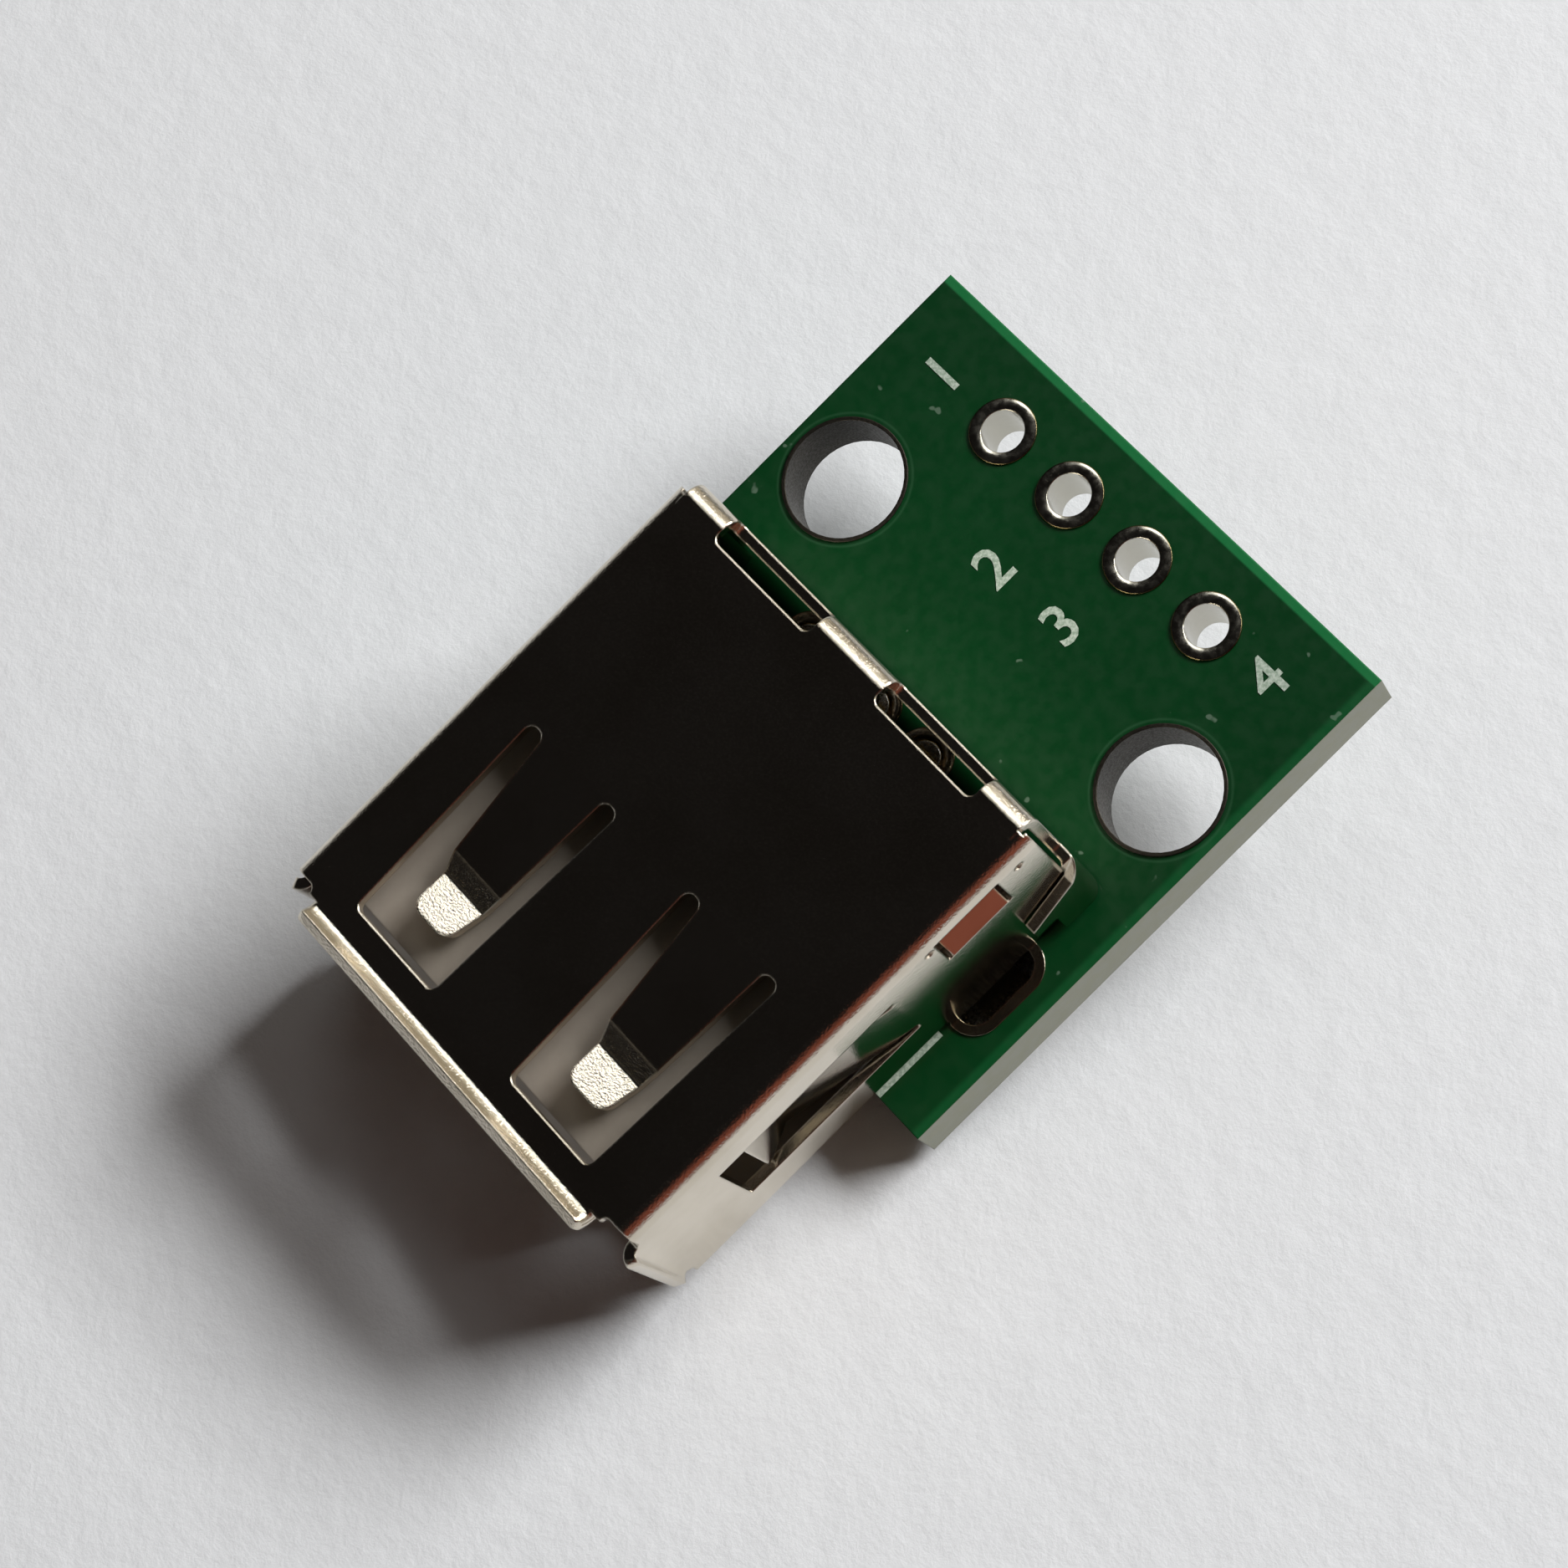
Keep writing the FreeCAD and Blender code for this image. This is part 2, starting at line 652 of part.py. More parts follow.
# Contact springs of the side walls
SIDE_LOW = "-side_window_low"
SIDE_HIGH = "side_window_high"
SLIT_ROUND = "(side_spring_slit * 0.45)"
side_window = draw(shell, "side_window", "YZ_Plane", [
    rectangle("-side_window_front", "side_spring_root", SIDE_LOW, SIDE_HIGH),
])
cut(shell, side_window, both=True)
side_loops = []
for side in SIDES.values():
    path = [
        ("side_spring_root + sheet", "0"),
        ("side_spring_root", "0"),
        ("-side_spring_bend", "side_spring_drop"),
        ("-side_spring_tip", "side_spring_tip_drop"),
    ]
    outer = [(signed(side, f"{HALF_WIDTH} - {drop}"), y) for y, drop in path]
    inner = [(signed(side, f"{INNER_X} - {drop}"), y) for y, drop in path]
    side_loops.append(outer + inner[::-1])
side_arms = draw(shell, "side_arms", "XY_Plane", side_loops,
                 offset=SIDE_LOW)
pad(shell, side_arms, "side_window_low + side_window_high")
side_slit = draw(shell, "side_slits", "YZ_Plane", [[
    ("-side_window_front", SIDE_LOW, "window_radius"),
    ("side_spring_root", SIDE_LOW, SLIT_ROUND),
    ("side_spring_root", f"{SIDE_LOW} + side_spring_slit", SLIT_ROUND),
    ("-side_spring_tip", f"{SIDE_LOW} + side_spring_slit", "window_radius"),
    ("-side_spring_tip", f"{SIDE_HIGH} - side_spring_slit", "window_radius"),
    ("side_spring_root", f"{SIDE_HIGH} - side_spring_slit", SLIT_ROUND),
    ("side_spring_root", SIDE_HIGH, SLIT_ROUND),
    ("-side_window_front", SIDE_HIGH, "window_radius"),
]])
cut(shell, side_slit, both=True)

# Flaps pushed in at their upper edge, which latch the insulator
lance_window = draw(shell, "lance_window", "YZ_Plane", [
    rectangle("lance_front", "lance_rear", "lance_low", "lance_high"),
])
cut(shell, lance_window, both=True)
lance_loops = []
for side in SIDES.values():
    path = [
        ("lance_low - sheet", "0"),
        ("lance_low", "0"),
        ("lance_high - lance_slit", "lance_drop"),
    ]
    outer = [(signed(side, f"{HALF_WIDTH} - {drop}"), z) for z, drop in path]
    inner = [(signed(side, f"{INNER_X} - {drop}"), z) for z, drop in path]
    lance_loops.append(outer + inner[::-1])
lances = draw(shell, "lances", "XZ_Plane", lance_loops, offset="lance_slit - lance_rear")
pad(shell, lances, "lance_rear - lance_front - 2 * lance_slit")

# Small press marks beside each lance
for side_name, side in SIDES.items():
    dents = draw(shell, f"dents_{side_name}", "YZ_Plane", circles=[
        ("dent_front", "dent_level", "dent_radius"),
        ("dent_rear", "dent_level", "dent_radius"),
    ], offset=signed(side, f"{HALF_WIDTH} - dent_depth"))
    cut(shell, dents, "sheet", flip=side > 0)

# Joint line with a dovetail where the sheet's ends meet underneath
seam_left = "-seam_gap / 2"
seam_right = "seam_gap / 2"
seam_reach = "dovetail_reach - seam_gap / 2"
seam = draw(shell, "seam", "XY_Plane", [[
    (seam_left, "-mouth_edge - lip_radius - 2 * sheet"),
    (seam_left, "-dovetail_y - dovetail_root"),
    (seam_reach, "-dovetail_y - dovetail_end"),
    (seam_reach, "-dovetail_y + dovetail_end"),
    (seam_left, "-dovetail_y + dovetail_root"),
    (seam_left, "bottom_rear + sheet"),
    (seam_right, "bottom_rear + sheet"),
    (seam_right, "-dovetail_y + dovetail_root + seam_gap"),
    (f"{seam_reach} + seam_gap", "-dovetail_y + dovetail_end + seam_gap"),
    (f"{seam_reach} + seam_gap", "-dovetail_y - dovetail_end - seam_gap"),
    (seam_right, "-dovetail_y - dovetail_root - seam_gap"),
    (seam_right, "-mouth_edge - lip_radius - 2 * sheet"),
]])
cut(shell, seam)

# Pegs that pass through the board
pegs = draw(shell, "pegs", "XZ_Plane", [
    [(x, f"{z} - {SHELL_MIDDLE}") for x, z in peg_profile(side)] for side in SIDES.values()
], offset="-peg_y")
pad(shell, pegs, "peg_width", both=True)
tapers = []
for side in (-1, 1):
    edge = f"peg_y + {signed(side, 'peg_width / 2')}"
    tip = f"peg_y + {signed(side, 'peg_tip_width / 2')}"
    beyond = f"peg_y + {signed(side, 'peg_width')}"
    tapers.append([
        (edge, f"-peg_taper_depth - {SHELL_MIDDLE}"),
        (tip, f"-peg_depth - {SHELL_MIDDLE}"),
        (tip, f"-peg_depth - sheet - {SHELL_MIDDLE}"),
        (beyond, f"-peg_depth - sheet - {SHELL_MIDDLE}"),
        (beyond, f"-peg_taper_depth - {SHELL_MIDDLE}"),
    ])
peg_taper = draw(shell, "peg_tapers", "YZ_Plane", tapers)
cut(shell, peg_taper, both=True)

# Insulator: the block between the walls with the tongue in front
insulator = new_body("insulator")
BLOCK_HALF = f"({INNER_X} - block_clearance)"
TONGUE_HALF = f"({INNER_X} - tongue_side_gap)"
block = draw(insulator, "block", "XZ_Plane", [[
    (minus(BLOCK_HALF), f"{INNER_TOP} - block_height"),
    (BLOCK_HALF, f"{INNER_TOP} - block_height"),
    (BLOCK_HALF, INNER_TOP, "bend_inner"),
    (minus(BLOCK_HALF), INNER_TOP, "bend_inner"),
]], offset="-block_rear")
pad(insulator, block, "block_rear - block_front")
tongue = draw(insulator, "tongue", "YZ_Plane", [[
    ("block_front + sheet", TONGUE_LOW),
    ("block_front + sheet", TONGUE_TOP),
    ("tongue_chamfer - tongue_front", TONGUE_TOP),
    ("-tongue_front", f"{TONGUE_TOP} - tongue_chamfer"),
    ("-tongue_front", f"{TONGUE_LOW} + tongue_chamfer"),
    ("tongue_chamfer - tongue_front", TONGUE_LOW),
]])
pad(insulator, tongue, f"2 * {TONGUE_HALF}", both=True)
for number, x in CONTACTS.items():
    half = "(contact_width / 2 + groove_clearance)"
    groove = draw(insulator, f"groove_{number}", "XZ_Plane", [
        rectangle(f"{x} - {half}", f"{x} + {half}", f"{TONGUE_LOW} - {SLIVER}", STRIP_TOP),
    ], offset="-block_front")
    cut(insulator, groove, "block_front + contact_tip + contact_strip", flip=True)
    channel = draw(insulator, f"channel_{number}", "XZ_Plane", [
        rectangle(f"{x} - {half}", f"{x} + {half}", f"{STRIP_LOW} - groove_clearance", STRIP_TOP),
    ], offset="-block_front")
    cut(insulator, channel)
latch_loops = []
for side in SIDES.values():
    latch_loops.append(rectangle(
        signed(side, f"{INNER_X} - lance_drop - latch_clearance"),
        signed(side, HALF_WIDTH),
        "lance_front",
        "lance_rear",
    ))
latch = draw(insulator, "latches", "XY_Plane", latch_loops,
             offset=f"{SHELL_MIDDLE} + lance_low")
cut(insulator, latch, "lance_high - lance_low", flip=True)


def contact(name, x):
    """A spring contact: bowed strip, straight run through the block, tail."""
    body = new_body(name, x)
    rear = "(tail_y + contact_strip / 2)"
    front = "(tail_y - contact_strip / 2)"
    outer_bend = "(contact_bend + contact_strip)"
    side_view = draw(body, "side", "YZ_Plane", [[
        ("-contact_tip", f"{STRIP_TOP}"),
        ("-contact_crown", f"{STRIP_TOP} - contact_crown_drop", "contact_strip"),
        ("-contact_bow_start", STRIP_TOP, "contact_strip"),
        (rear, STRIP_TOP, outer_bend),
        (rear, "-tail_depth + contact_strip"),
        ("tail_y", "-tail_depth"),
        (front, "-tail_depth + contact_strip"),
        (front, STRIP_LOW, "contact_bend"),
        ("-contact_bow_start", STRIP_LOW, "contact_strip"),
        ("-contact_crown", f"{STRIP_LOW} - contact_crown_drop", "contact_strip"),
        ("-contact_tip", STRIP_LOW),
    ]])
    pad(body, side_view, "contact_width", both=True)
    shoulders = []
    for side in (-1, 1):
        narrow = signed(side, "tail_width / 2")
        wide = signed(side, "contact_width")
        shoulders.append([
            (narrow, "tail_shoulder"),
            (wide, "tail_shoulder"),
            (wide, "-tail_depth - contact_strip"),
            (signed(side, "tail_width / 4"), "-tail_depth - contact_strip"),
            (signed(side, "tail_width / 4"), "-tail_depth"),
            (narrow, "-tail_depth + tail_point"),
        ])
    narrowing = draw(body, "shoulders", "XZ_Plane", shoulders)
    cut(body, narrowing, both=True)


def contact_solder(name, x):
    """Solder that fills a contact hole round the tail and hangs as a cone."""
    body = new_body(name, x, "tail_y")
    under = "-board_thickness - land_height"
    bore = "(contact_bore / 2)"
    rim = "(contact_land / 2 - plating_wall)"
    neck = "(tail_width / 2 + 2 * solder_hold)"
    fill = draw(body, "fill", "XZ_Plane", [[
        ("0", "land_height"),
        (bore, "land_height"),
        (bore, under),
        (rim, under),
        (f"{neck} + ({rim} - {neck}) / 4", f"{under} - solder_cone / 2"),
        (neck, f"{under} - solder_cone"),
        ("0", f"{under} - solder_cone"),
    ]])
    turn(body, fill)
    passage = draw(body, "passage", "XY_Plane", [
        rectangle("-tail_width / 2", "tail_width / 2", "-contact_strip / 2", "contact_strip / 2"),
    ])
    cut(body, passage, both=True)


for number, x in CONTACTS.items():
    contact(f"contact_{number}", x)
    contact_solder(f"contact_solder_{number}", x)

# Solder that holds the pegs in the lower part of their slots
for side_name, side in SIDES.items():
    solder = new_body(f"peg_solder_{side_name}", "0", "peg_y")
    centre = signed(side, SLOT_X)
    plug = draw(solder, "plug", "XY_Plane", [slot_outline(centre, "0", "0")],
                offset="-peg_solder_top")
    pad(solder, plug, "board_thickness + land_height - peg_solder_top", flip=True)
    meniscus = draw(solder, "meniscus", "XY_Plane",
                    [slot_outline(centre, "0", "peg_slot_ring - plating_wall")],
                    offset="-board_thickness - land_height")
    pad(solder, meniscus, "peg_solder_cone", flip=True, taper="-peg_solder_angle")
    passage = draw(solder, "passage", "XZ_Plane", [peg_profile(side)])
    cut(solder, passage, "peg_width", both=True)

doc.recompute()
for feature in doc.Objects:
    for word in ("Invalid", "Error"):
        if word in feature.State:
            raise RuntimeError(f"{feature.Name}: {feature.State}")

os.makedirs("parts", exist_ok=True)
for body in doc.Objects:
    if body.TypeId != "PartDesign::Body":
        continue
    solid = body.Shape
    if solid.isNull() or not solid.isValid() or len(solid.Solids) != 1:
        raise RuntimeError(f"{body.Name}: not one valid solid")
    solid.exportStep(f"parts/{body.Label}.step")
    print(body.Label, round(solid.Volume, 4))
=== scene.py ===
import json
import math

import bpy
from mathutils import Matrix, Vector


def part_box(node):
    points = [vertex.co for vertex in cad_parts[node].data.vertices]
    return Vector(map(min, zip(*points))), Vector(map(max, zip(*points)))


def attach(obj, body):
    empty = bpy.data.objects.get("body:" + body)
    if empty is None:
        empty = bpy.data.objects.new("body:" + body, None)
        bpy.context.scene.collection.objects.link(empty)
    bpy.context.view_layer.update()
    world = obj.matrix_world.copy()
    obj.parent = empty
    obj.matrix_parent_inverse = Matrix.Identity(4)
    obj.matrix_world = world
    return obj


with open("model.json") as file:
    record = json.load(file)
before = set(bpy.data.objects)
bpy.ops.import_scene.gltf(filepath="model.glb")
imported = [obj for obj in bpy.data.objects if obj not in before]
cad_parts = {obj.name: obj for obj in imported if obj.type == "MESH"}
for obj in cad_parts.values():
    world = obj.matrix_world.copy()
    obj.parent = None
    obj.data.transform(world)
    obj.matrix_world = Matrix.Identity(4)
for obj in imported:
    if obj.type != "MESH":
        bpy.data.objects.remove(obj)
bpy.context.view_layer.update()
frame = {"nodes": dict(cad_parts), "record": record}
NODES = frame["nodes"]
RECORD = frame["record"]
MM = 0.001
BOARD_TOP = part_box("board")[1].z


# Node helpers
class Nodes:
    """A material's node tree with short calls for the nodes it is built from."""

    def __init__(self, name):
        self.material = bpy.data.materials.new(name)
        self.material.use_nodes = True
        self.tree = self.material.node_tree
        self.shader = self.tree.nodes["Principled BSDF"]
        self.place = self.add("ShaderNodeTexCoord").outputs["Object"]

    def add(self, kind, **settings):
        """A new node with its own settings, such as its operation."""
        node = self.tree.nodes.new(kind)
        for key, setting in settings.items():
            setattr(node, key, setting)
        return node

    def feed(self, socket, source):
        """Links a socket to another one, or gives it a constant."""
        if isinstance(source, bpy.types.NodeSocket):
            self.tree.links.new(source, socket)
        else:
            socket.default_value = source

    def math(self, operation, first, second=0.0):
        """One step of arithmetic."""
        node = self.add("ShaderNodeMath", operation=operation)
        self.feed(node.inputs[0], first)
        self.feed(node.inputs[1], second)
        return node.outputs[0]

    def noise(self, scale, detail, roughness):
        """A noise pattern with this many features per metre."""
        node = self.add("ShaderNodeTexNoise")
        self.feed(node.inputs["Vector"], self.place)
        node.inputs["Scale"].default_value = scale
        node.inputs["Detail"].default_value = detail
        node.inputs["Roughness"].default_value = roughness
        return node.outputs["Fac"]

    def span(self, source, low, high, to_low=0.0, to_high=1.0):
        """Carries the range low..high over to to_low..to_high, with soft ends."""
        node = self.add("ShaderNodeMapRange", interpolation_type="SMOOTHSTEP")
        self.feed(node.inputs["Value"], source)
        node.inputs["From Min"].default_value = low
        node.inputs["From Max"].default_value = high
        node.inputs["To Min"].default_value = to_low
        node.inputs["To Max"].default_value = to_high
        return node.outputs["Result"]

    def band(self, source, low, high, soft):
        """1 between two levels, 0 beyond them."""
        rise = self.span(source, low - soft, low + soft)
        fall = self.span(source, high - soft, high + soft, 1.0, 0.0)
        return self.math("MULTIPLY", rise, fall)

    def mix(self, share, first, second):
        """The first colour at share 0, the second at share 1."""
        node = self.add("ShaderNodeMix", data_type="RGBA")
        self.feed(node.inputs["Factor"], share)
        self.feed(node.inputs["A"], first if not isinstance(first, tuple) else (*first, 1))
        self.feed(node.inputs["B"], second if not isinstance(second, tuple) else (*second, 1))
        return node.outputs["Result"]

    def split(self, vector):
        """The x, y and z of a vector."""
        node = self.add("ShaderNodeSeparateXYZ")
        self.feed(node.inputs[0], vector)
        return node.outputs

    def axes(self):
        """The place on the object, in metres."""
        return self.split(self.place)

    def facing(self):
        """The surface's normal."""
        return self.split(self.add("ShaderNodeNewGeometry").outputs["Normal"])

    def radial(self):
        """Distance from the middle of the object's own box, 1 at its sides."""
        across = self.split(self.add("ShaderNodeTexCoord").outputs["Generated"])
        squares = []
        for axis in (0, 1):
            offset = self.math("SUBTRACT", across[axis], 0.5)
            squares.append(self.math("MULTIPLY", offset, offset))
        total = self.math("ADD", *squares)
        return self.math("MULTIPLY", self.math("SQRT", total), 2.0)

    def edge(self, radius):
        """A normal that rounds the object's sharp edges."""
        node = self.add("ShaderNodeBevel", samples=6)
        node.inputs["Radius"].default_value = radius
        return node.outputs["Normal"]

    def bump(self, height, strength, distance, below=None):
        """A normal roughened by a height, over a plain or an already changed one."""
        node = self.add("ShaderNodeBump")
        node.inputs["Strength"].default_value = strength
        node.inputs["Distance"].default_value = distance
        self.feed(node.inputs["Height"], height)
        if below is not None:
            self.feed(node.inputs["Normal"], below)
        return node.outputs["Normal"]

    def set(self, **values):
        """Feeds the shader's own sockets, with _ for the spaces in their names."""
        for name, source in values.items():
            socket = self.shader.inputs[name.replace("_", " ")]
            if isinstance(source, tuple) and len(source) == 3:
                source = (*source, 1)
            self.feed(socket, source)


def srgb(red, green, blue):
    """A colour given in 0-255 display values, as linear light."""
    values = []
    for level in (red, green, blue):
        level /= 255
        values.append(level / 12.92 if level <= 0.04045 else ((level + 0.055) / 1.055) ** 2.4)
    return tuple(values)


# Bare metal
GRAIN_SCALE = 16000
GRAIN_DEPTH = 0.02 * MM
CLOUD_SCALE = 350


def metal(name, colour, patches, roughness, grain, rounding):
    """Plated or bare metal with soft patches, fine grain and rounded edges."""
    made = Nodes(name)
    fine = made.noise(GRAIN_SCALE, 3, 0.6)
    cloud = made.noise(CLOUD_SCALE, 4, 0.55)
    made.set(
        Base_Color=made.mix(made.span(cloud, 0.35, 0.7), colour, patches),
        Metallic=1.0,
        Roughness=made.span(fine, 0.25, 0.75, roughness * 0.75, roughness * 1.3),
        Normal=made.bump(fine, grain, GRAIN_DEPTH, made.edge(rounding)),
    )
    return made


# Sheet that was bent or drawn, told by the lean of its face, is coarser than the flat roof and
# walls
FLAT_GRAIN, FORMED_GRAIN = 0.18, 0.62
FORMED_FROM, FORMED_TO, FORMED_SOFT = 0.5, 0.975, 0.008

# The pushed-in flaps of the side walls, in mm and by the lean of their face. They are shaded as if
# they leaned further than their solid does.
FLAP_FRONT, FLAP_REAR = -6.45, -4.35
FLAP_LOW, FLAP_HIGH = 3.7, 5.2
FLAP_SOFT = 0.02
FLAP_FACE = (0.25, 0.45, 0.02)
FLAP_LEAN = 0.6


def shell_finish():
    """The plated sheet of the shell."""
    made = metal("shell_metal", srgb(222, 214, 199), srgb(206, 197, 180), 0.11, FLAT_GRAIN,
                 0.09 * MM)
    facing = made.facing()
    formed = made.band(made.math("ABSOLUTE", facing[2]), FORMED_FROM, FORMED_TO, FORMED_SOFT)
    bump = made.shader.inputs["Normal"].links[0].from_node
    made.feed(bump.inputs["Strength"], made.span(formed, 0, 1, FLAT_GRAIN, FORMED_GRAIN))

    _, y, z = made.axes()
    on_flap = made.math(
        "MULTIPLY",
        made.band(y, FLAP_FRONT * MM, FLAP_REAR * MM, FLAP_SOFT * MM),
        made.band(z, FLAP_LOW * MM, FLAP_HIGH * MM, FLAP_SOFT * MM),
    )
    on_flap = made.math("MULTIPLY", on_flap, made.band(facing[2], *FLAP_FACE))
    lean = made.add("ShaderNodeCombineXYZ")
    made.feed(lean.inputs["Z"], made.math("MULTIPLY", on_flap, FLAP_LEAN))
    leaned = made.add("ShaderNodeVectorMath", operation="ADD")
    made.feed(leaned.inputs[0], bump.outputs["Normal"])
    made.feed(leaned.inputs[1], lean.outputs[0])
    unit = made.add("ShaderNodeVectorMath", operation="NORMALIZE")
    made.feed(unit.inputs[0], leaned.outputs[0])
    made.feed(made.shader.inputs["Normal"], unit.outputs[0])
    return made


# A tinned land swells up between its hole and its rim, which is dull and brown
LAND_CREST = 0.82
LAND_SWELL = -30.0
LAND_RIM = (0.955, 0.99)


def land_finish():
    """Tinned copper rings around the header and contact holes."""
    made = Nodes("land_metal")
    fine = made.noise(6000, 4, 0.6)
    reach = made.radial()
    from_crest = made.math("SUBTRACT", reach, LAND_CREST)
    dome = made.math("MULTIPLY", made.math("MULTIPLY", from_crest, from_crest), LAND_SWELL)
    swell = made.bump(dome, 0.6, 0.04 * MM, made.edge(0.04 * MM))
    made.set(
        Base_Color=made.mix(made.span(reach, *LAND_RIM), srgb(182, 178, 166), srgb(96, 86, 56)),
        Metallic=1.0,
        Roughness=made.span(fine, 0.25, 0.75, 0.12, 0.24),
        Normal=made.bump(fine, 0.12, GRAIN_DEPTH, swell),
    )
    return made


# Board, in mm: the mask is paler along its right and rear edges and in a thin ring around each
# mounting hole
RIGHT_BAND = (7.68, 7.86)
RIGHT_SHARE = 0.3
REAR_BAND = (5.42, 5.5)
MOUNTING_X = 6
CLEARING = (1.78, 1.84)
CLEARING_SOFT = 0.03
CLEARING_SHARE = 0.12
SPECK_SHARE = 0.3


def board_finish():
    """Green mask on the board's faces, bare laminate on its sides."""
    made = Nodes("board_skin")
    x, y, _ = made.axes()
    level = made.span(made.math("ABSOLUTE", made.facing()[2]), 0.4, 0.6)
    weave = made.noise(2600, 3, 0.5)
    cloud = made.noise(260, 3, 0.5)
    specks = made.span(made.noise(1500, 2, 0.5), 0.72, 0.75)

    mask = made.mix(cloud, srgb(2, 52, 20), srgb(5, 64, 28))
    right = made.span(x, RIGHT_BAND[0] * MM, RIGHT_BAND[1] * MM, 0, RIGHT_SHARE)
    rear = made.span(y, REAR_BAND[0] * MM, REAR_BAND[1] * MM)
    mask = made.mix(made.math("MAXIMUM", right, rear), mask, srgb(30, 120, 66))

    across = made.math("SUBTRACT", made.math("ABSOLUTE", x), MOUNTING_X * MM)
    squares = [made.math("MULTIPLY", offset, offset) for offset in (across, y)]
    from_hole = made.math("SQRT", made.math("ADD", *squares))
    clearing = made.band(from_hole, CLEARING[0] * MM, CLEARING[1] * MM, CLEARING_SOFT * MM)
    mask = made.mix(made.math("MULTIPLY", clearing, CLEARING_SHARE), mask, srgb(90, 140, 105))
    mask = made.mix(made.math("MULTIPLY", specks, SPECK_SHARE), mask, srgb(150, 175, 155))

    laminate = made.mix(weave, srgb(108, 112, 92), srgb(136, 138, 116))
    made.set(
        Base_Color=made.mix(level, laminate, mask),
        Roughness=made.span(weave, 0.3, 0.7, 0.3, 0.42),
        Normal=made.bump(weave, 0.2, 0.01 * MM, made.edge(0.06 * MM)),
        Specular_IOR_Level=0.3,
        Coat_Weight=0.18,
        Coat_Roughness=0.08,
    )
    return made


def plastic_finish():
    """Moulded grey-beige plastic."""
    made = Nodes("insulator_plastic")
    grain = made.noise(3000, 3, 0.6)
    made.set(
        Base_Color=made.mix(grain, srgb(156, 147, 136), srgb(166, 157, 145)),
        Roughness=made.span(grain, 0.3, 0.7, 0.4, 0.55),
        Normal=made.bump(grain, 0.2, 0.02 * MM, made.edge(0.06 * MM)),
    )
    return made


def silk_finish():
    """Thin white print that lets some of the mask through."""
    made = Nodes("silk_ink")
    grain = made.noise(9000, 3, 0.6)
    made.set(
        Base_Color=made.mix(made.span(grain, 0.35, 0.65), srgb(150, 172, 152), srgb(200, 214, 200)),
        Roughness=0.7,
        Normal=made.bump(grain, 0.4, 0.01 * MM),
    )
    return made


def paper_finish():
    """Matt white paper with a soft tooth."""
    made = Nodes("paper")
    fibre = made.noise(700, 6, 0.7)
    made.set(
        Base_Color=made.mix(fibre, srgb(218, 220, 222), srgb(226, 228, 230)),
        Roughness=0.9,
        Normal=made.bump(fibre, 0.3, 0.2 * MM),
    )
    return made


FINISHES = {
    "shell": shell_finish(),
    "solder": metal("solder_metal", srgb(178, 178, 175), srgb(150, 150, 148), 0.25, 0.3, 0.1 * MM),
    "contact": metal("contact_metal", srgb(214, 176, 100), srgb(190, 150, 80), 0.2, 0.2, 0.05 * MM),
    "peg_slot": metal("slot_metal", srgb(190, 186, 172), srgb(160, 150, 128), 0.16, 0.3, 0.04 * MM),
    # The mounting holes' barrels get a dark base colour: painted shade for the shadow that falls
    # inside the holes, not the plating's own colour
    "mounting_hole": metal("barrel_painted_shade", srgb(66, 62, 56), srgb(50, 47, 42), 0.45, 0.3,
                           0.04 * MM),
    "tinned_land": land_finish(),
    "board": board_finish(),
    "insulator": plastic_finish(),
}
# Linings that look unlike the tinned lands whose slot they share, by the start of their names. The
# mounting holes' lining is dark with painted shade.
OWN_FINISH = ("peg_slot", "mounting_hole")

for part in RECORD["subparts"]:
    chosen = part["material_slot"]
    for start in OWN_FINISH:
        if part["node"].startswith(start):
            chosen = start
    for slot in NODES[part["node"]].material_slots:
        slot.material = FINISHES[chosen].material


# Silk print, in mm: plain numbers beside the header holes, and the socket's outline
PRINT_RISE = 0.012
NUMBERS = {"1": (-6.1, 3.7), "2": (-1.3, 1.05), "3": (1.1, 1.2), "4": (5.94, 3.8)}
NUMBER_HEIGHT = 1.18
TYPE_SIZE = 1.37  # size of the type for a figure 1 high
STROKE_GROWTH = 0.018
OUTLINES = {"left": (-6.45, -9.18), "right": (6.45, -9.18)}
LINE_WIDTH, LINE_LENGTH = 0.22, 2.19

silk = silk_finish().material


def new_object(name, data):
    """A new object in the scene."""
    made = bpy.data.objects.new(name, data)
    bpy.context.scene.collection.objects.link(made)
    return made


def print_on_board(piece, x, y):
    """Lays a piece of print on the board's top."""
    piece.location = (x * MM, y * MM, BOARD_TOP + PRINT_RISE * MM)
    piece.data.materials.append(silk)
    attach(piece, "root")


for figure, (x, y) in NUMBERS.items():
    letters = bpy.data.curves.new(f"number_{figure}", "FONT")
    letters.body = figure
    letters.align_x = "CENTER"
    letters.align_y = "CENTER"
    letters.size = NUMBER_HEIGHT * MM * TYPE_SIZE
    letters.offset = STROKE_GROWTH * MM
    letters.resolution_u = 3
    drawn = new_object(f"drawn_{figure}", letters)
    bpy.context.view_layer.update()
    flat_mesh = bpy.data.meshes.new_from_object(drawn)
    bpy.data.objects.remove(drawn)
    number = new_object(f"number_{figure}", flat_mesh)
    number.rotation_euler = (0, 0, math.radians(90))
    print_on_board(number, x, y)

for name, (x, y) in OUTLINES.items():
    strip = bpy.data.meshes.new(f"outline_{name}")
    a, b = LINE_WIDTH / 2 * MM, LINE_LENGTH / 2 * MM
    strip.from_pydata([(-a, -b, 0), (a, -b, 0), (a, b, 0), (-a, b, 0)], [], [(0, 1, 2, 3)])
    print_on_board(new_object(f"outline_{name}", strip), x, y)

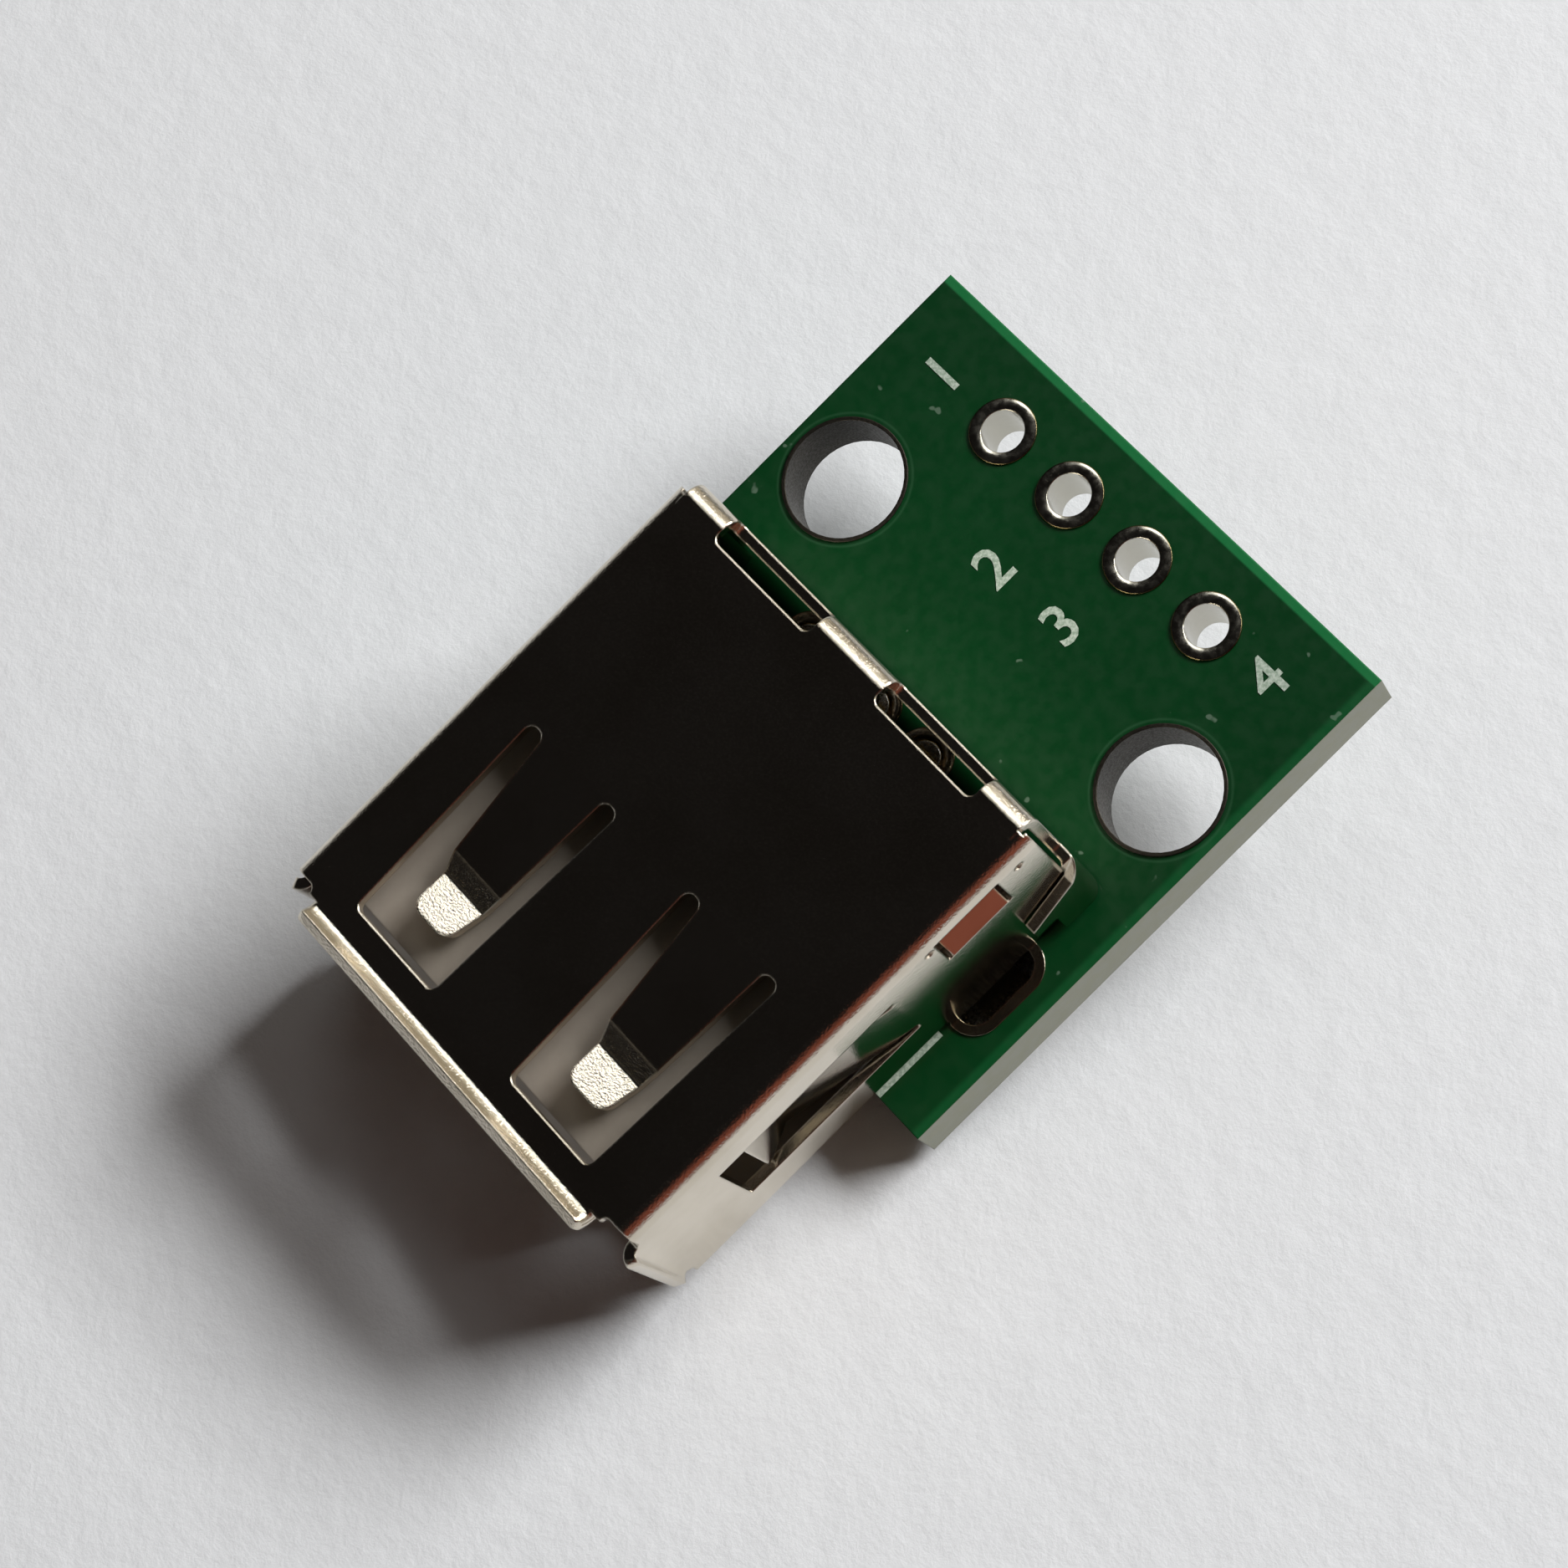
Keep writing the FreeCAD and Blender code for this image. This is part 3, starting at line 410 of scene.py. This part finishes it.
# Paper under the part, touched by the lower lip in front and by the tips of the pegs
LIP_REST = Vector((0, -17.01, -0.242)) * MM
PEG_REST = Vector((0, -6.7, -3.0)) * MM
FLOOR_SIZE = 4
bpy.ops.mesh.primitive_plane_add(size=FLOOR_SIZE, location=LIP_REST)
floor = bpy.context.object
floor.name = "floor"
slope = PEG_REST - LIP_REST
floor.rotation_euler = (math.atan2(slope.z, slope.y), 0, 0)
floor.data.materials.append(paper_finish().material)

# Camera at the photograph's angle
camera_data = bpy.data.cameras.new("camera")
camera_data.sensor_width = 36
camera_data.lens = 93.2965
camera_data.clip_start = 0.001
camera_data.clip_end = 10
camera = new_object("camera", camera_data)
camera.rotation_mode = "QUATERNION"
camera.rotation_quaternion = (0.904842, 0.0558295, 0.1836424, 0.3800251)
camera.location = (0.0375237, -0.0026112, 0.0956869)
bpy.context.scene.camera = camera


# Lights
def softbox(name, direction, distance, width, depth, power, colour):
    """A soft rectangular lamp that looks at the part from a direction."""
    data = bpy.data.lights.new(name, "AREA")
    data.shape = "RECTANGLE"
    data.size = width
    data.size_y = depth
    data.energy = power
    data.color = colour
    lamp = new_object(name, data)
    toward = Vector(direction).normalized()
    lamp.location = toward * distance
    lamp.rotation_mode = "QUATERNION"
    lamp.rotation_quaternion = toward.to_track_quat("Z", "Y")
    return lamp


# A large window behind the part, and a smaller, warmer one above it to the left
WHITE, WARM = (1.0, 1.0, 1.0), (1.0, 1.0, 0.97)
LARGE = {"direction": (0.2, 0.88, 0.41), "width": 0.38, "depth": 0.22, "colour": WHITE}
SMALL = {"direction": (-0.375, 0.513, 0.772), "width": 0.24, "depth": 0.16, "colour": WARM}
softbox("window_light", distance=0.6, power=5.4, **LARGE)
softbox("upper_window", distance=0.6, power=0.15, **SMALL)
# The small window's brightness as bare metal mirrors it
glint = softbox("upper_glint", distance=0.58, power=0.45, **SMALL)
glint.visible_diffuse = False

# Room: dark above, a pale wall behind the part, a red-brown table to its right and a dim strip in
# front of it. Only what the camera sees directly, past the floor, is a pale backdrop.
OVERHEAD = (0.0085, 0.0077, 0.0076)
LOW_AIR = (0.03, 0.029, 0.0285)
FRONT_STRIP = (0.14, 0.13, 0.115)
TABLE = (0.24, 0.075, 0.05)
WALL = (0.6, 0.55, 0.45)
WALL_ON_MATT = 0.22  # share of the wall's light that anything but a mirror gets
BACKDROP = (0.78, 0.785, 0.79)
OPEN = 2  # past any part of a direction, for a band without a limit

world = bpy.data.worlds.new("room")
bpy.context.scene.world = world
world.use_nodes = True
tree = world.node_tree


def room(kind, *sources, **settings):
    """A node of the room, with its inputs given in order."""
    node = tree.nodes.new(kind)
    for key, setting in settings.items():
        setattr(node, key, setting)
    for socket, source in zip(node.inputs, sources):
        if isinstance(source, bpy.types.NodeSocket):
            tree.links.new(source, socket)
        else:
            socket.default_value = source
    return node.outputs[0]


def room_product(first, second):
    """Both shares at once."""
    return room("ShaderNodeMath", first, second, operation="MULTIPLY")


def room_band(source, low, high, soft):
    """1 between two levels of a direction, 0 beyond them."""
    smooth = {"interpolation_type": "SMOOTHSTEP"}
    rise = room("ShaderNodeMapRange", source, low - soft, low + soft, 0.0, 1.0, **smooth)
    fall = room("ShaderNodeMapRange", source, high - soft, high + soft, 1.0, 0.0, **smooth)
    return room_product(rise, fall)


def room_mix(share, first, second):
    """The first light at share 0, the second at share 1."""
    node = tree.nodes.new("ShaderNodeMix")
    node.data_type = "RGBA"
    tree.links.new(share, node.inputs["Factor"])
    for socket, source in ((node.inputs["A"], first), (node.inputs["B"], second)):
        if isinstance(source, tuple):
            socket.default_value = (*source, 1)
        else:
            tree.links.new(source, socket)
    return node.outputs["Result"]


way = tree.nodes.new("ShaderNodeSeparateXYZ")
tree.links.new(tree.nodes.new("ShaderNodeTexCoord").outputs["Generated"], way.inputs[0])
east, north, up = way.outputs
rays = tree.nodes.new("ShaderNodeLightPath").outputs

low_air = room_band(up, -OPEN, 0.35, 0.15)
front_strip = room_product(room_band(north, -0.6, -0.46, 0.03), room_band(up, 0.72, OPEN, 0.05))
table = room_product(room_band(up, 0.14, 0.72, 0.1), room_band(east, 0.75, OPEN, 0.1))
wall = room_product(room_band(up, 0.06, 0.68, 0.05), room_band(north, 0.4, OPEN, 0.1))
wall_share = room("ShaderNodeMapRange", rays["Is Glossy Ray"], 0.0, 1.0, WALL_ON_MATT, 1.0)

light = room_mix(low_air, OVERHEAD, LOW_AIR)
light = room_mix(front_strip, light, FRONT_STRIP)
light = room_mix(table, light, TABLE)
light = room_mix(room_product(wall, wall_share), light, WALL)
light = room_mix(rays["Is Camera Ray"], light, BACKDROP)
tree.links.new(light, tree.nodes["Background"].inputs["Color"])

bpy.context.scene.view_settings.view_transform = "Standard"
